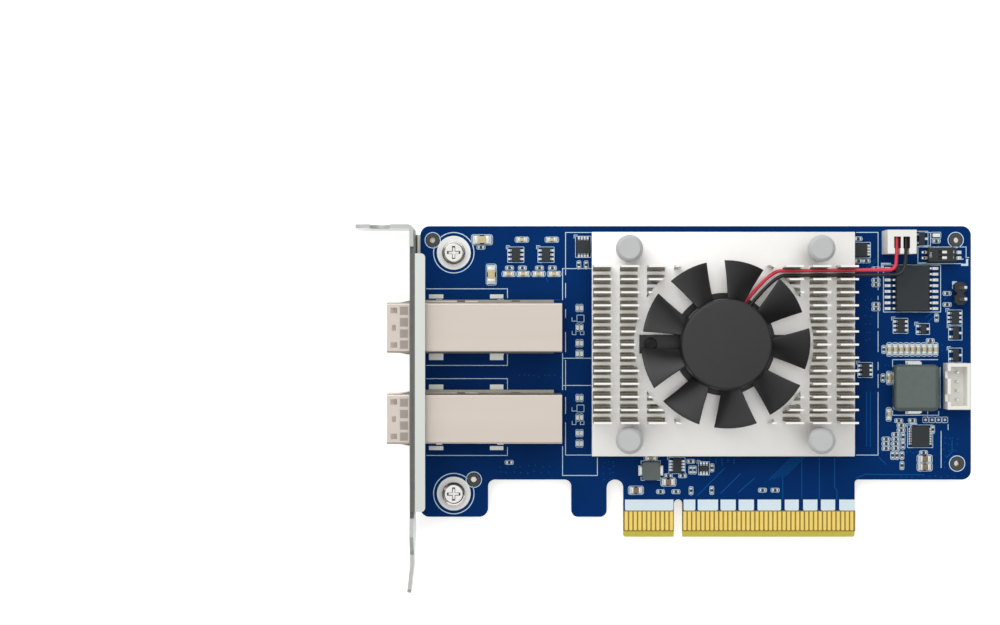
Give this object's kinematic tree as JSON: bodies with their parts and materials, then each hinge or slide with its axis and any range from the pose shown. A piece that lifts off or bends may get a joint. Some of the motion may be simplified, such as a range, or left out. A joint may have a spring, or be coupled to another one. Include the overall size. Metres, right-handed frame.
{
  "type": "sas controller card",
  "caption": "Low-profile server storage controller card: circuit board with edge connector, folded bracket, two cable ports, finned heatsink and small fan.",
  "frame": {"origin": "centre line of the key notch at the bottom of the edge connector, on the component face of the board", "axes": "+X along the board away from the bracket, +Y to the board's top edge, +Z out of the component face"},
  "size_m": [0.1357, 0.0802, 0.0191],
  "materials": {
    "board_laminate": "glossy",
    "gold": "plated",
    "bracket_steel": "satin",
    "screw_steel": "polished",
    "port_nickel": "satin",
    "connector_plastic": "moulded",
    "chip_plastic": "moulded",
    "pad_rubber": "soft",
    "heatsink_aluminium": "blasted",
    "pin_nylon": "moulded",
    "spring_steel": "satin",
    "fan_plastic": "moulded",
    "fan_metal": "satin",
    "fan_ferrite": "dull",
    "screw_black": "black",
    "wire_red": "extruded",
    "wire_black": "extruded",
    "plug_ivory": "moulded",
    "header_black": "moulded",
    "slider_white": "moulded",
    "tin": "tinned",
    "inductor_grey": "pressed powder",
    "capacitor_tan": "fired",
    "capacitor_brown": "fired",
    "resistor_dark": "glazed",
    "lamp_clear": "clear"
  },
  "bodies": {
    "card": {"circuit_board": "board_laminate", "edge_contacts": "gold", "bracket": "bracket_steel", "bracket_screws": "screw_steel", "upper_port_shell": "port_nickel", "upper_port_collar": "port_nickel", "upper_port_base": "port_nickel", "upper_port_housing": "connector_plastic", "upper_port_contacts": "gold", "lower_port_shell": "port_nickel", "lower_port_collar": "port_nickel", "lower_port_base": "port_nickel", "lower_port_housing": "connector_plastic", "lower_port_contacts": "gold", "controller_package": "chip_plastic", "thermal_pad": "pad_rubber", "heatsink": "heatsink_aluminium", "push_pins": "pin_nylon", "push_pin_springs": "spring_steel", "fan_plate": "fan_plastic", "fan_sleeve": "fan_metal", "fan_ring_board": "board_laminate", "fan_stator": "fan_metal", "fan_screws": "screw_black", "fan_wire_red": "wire_red", "fan_wire_black": "wire_black", "fan_plug": "plug_ivory", "fan_header": "plug_ivory", "fan_header_pins": "tin", "jumper_header": "header_black", "jumper_pins": "gold", "service_header": "plug_ivory", "service_header_pins": "tin", "switch_body": "header_black", "switch_leads": "tin", "power_inductor": "inductor_grey", "power_inductor_tabs": "tin", "small_inductor": "inductor_grey", "small_inductor_ends": "tin", "wide_chip": "chip_plastic", "wide_chip_leads": "tin", "small_chips": "chip_plastic", "small_chip_leads": "tin", "large_capacitors": "capacitor_tan", "brown_capacitors": "capacitor_brown", "tan_capacitors": "capacitor_tan", "tiny_resistors": "resistor_dark", "status_lamp": "lamp_clear", "back_capacitors": "capacitor_tan"},
    "fan_rotor": {"fan_shaft": "fan_metal", "fan_cup": "fan_metal", "fan_magnet": "fan_ferrite", "fan_impeller": "fan_plastic"},
    "slider_1": {"switch_slider_1": "slider_white"},
    "slider_2": {"switch_slider_2": "slider_white"}
  },
  "joints": [
    {"name": "fan_spin", "type": "hinge", "parent": "card", "child": "fan_rotor", "pos_m": [0.00956, 0.0428, 0.01], "axis": [0, 0, 1], "continuous": true},
    {"name": "switch_1_slide", "type": "slide", "parent": "card", "child": "slider_1", "axis": [-1, 0, 0], "range_m": [0, 0.0008]},
    {"name": "switch_2_slide", "type": "slide", "parent": "card", "child": "slider_2", "axis": [-1, 0, 0], "range_m": [0, 0.0008]}
  ]
}
